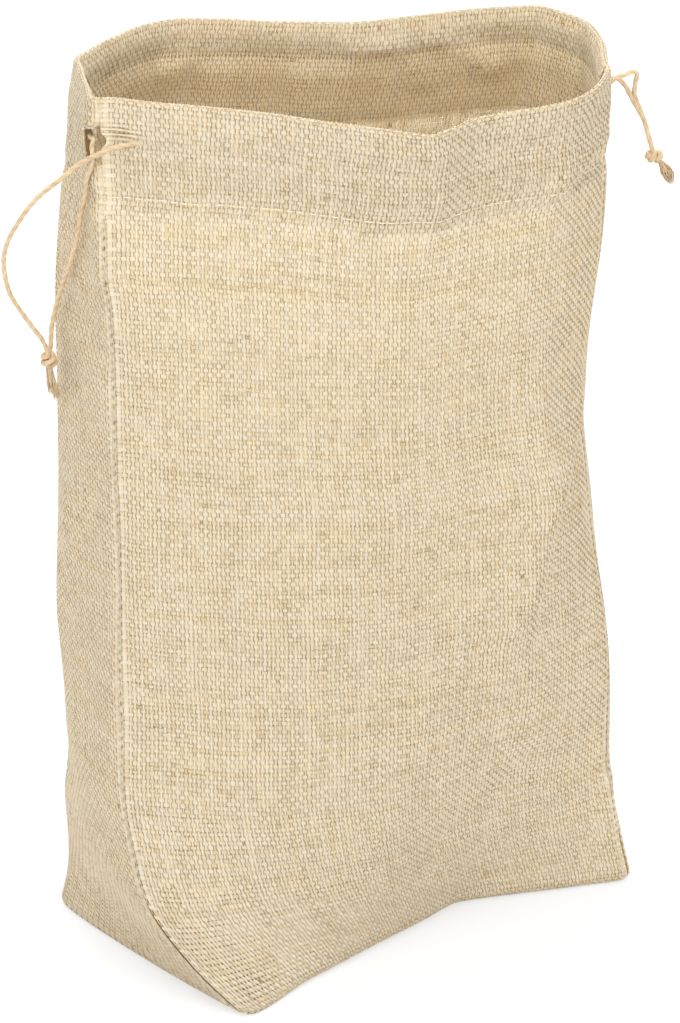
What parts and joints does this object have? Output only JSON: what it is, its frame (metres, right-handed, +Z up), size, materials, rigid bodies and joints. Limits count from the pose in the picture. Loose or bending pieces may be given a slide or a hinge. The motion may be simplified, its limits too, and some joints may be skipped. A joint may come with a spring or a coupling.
{
  "type": "sack race bag",
  "caption": "Child's hessian sack standing open, with a stitched casing round its mouth and knotted jute drawcords that come out of its side slits.",
  "frame": {"origin": "on the ground, at the middle of the box round the cloth, cords left out", "axes": "+Z up through the mouth, -Y out of the front panel, +X to the right seen from the front"},
  "size_m": [0.4512, 0.2936, 0.6401],
  "materials": {
    "hessian": "coarse open plain weave, matt",
    "jute_twine": "twisted jute twine, slightly hairy, matt",
    "sewing_thread": "pale sewing thread, matt"
  },
  "bodies": {
    "bag": {"front_panel": "hessian", "back_panel": "hessian", "left_side_stitching": "sewing_thread", "right_side_stitching": "sewing_thread", "bottom_stitching": "sewing_thread", "front_hem_stitching": "sewing_thread", "back_hem_stitching": "sewing_thread", "left_cord_run": "jute_twine", "right_cord_run": "jute_twine"},
    "left_drawstring": {"left_cord_front_end": "jute_twine", "left_cord_back_end": "jute_twine", "left_knot": "jute_twine", "left_front_tail": "jute_twine", "left_back_tail": "jute_twine"},
    "right_drawstring": {"right_cord_front_end": "jute_twine", "right_cord_back_end": "jute_twine", "right_knot": "jute_twine", "right_tail": "jute_twine"}
  },
  "joints": [
    {"name": "left_drawstring_pull", "type": "slide", "parent": "bag", "child": "left_drawstring", "axis": [-1, 0, 0], "range_m": [0, 0.045], "deforming": ["left_cord_front_end", "left_cord_back_end"]},
    {"name": "right_drawstring_pull", "type": "slide", "parent": "bag", "child": "right_drawstring", "axis": [1, 0, 0], "range_m": [0, 0.045], "deforming": ["right_cord_front_end", "right_cord_back_end"]}
  ]
}
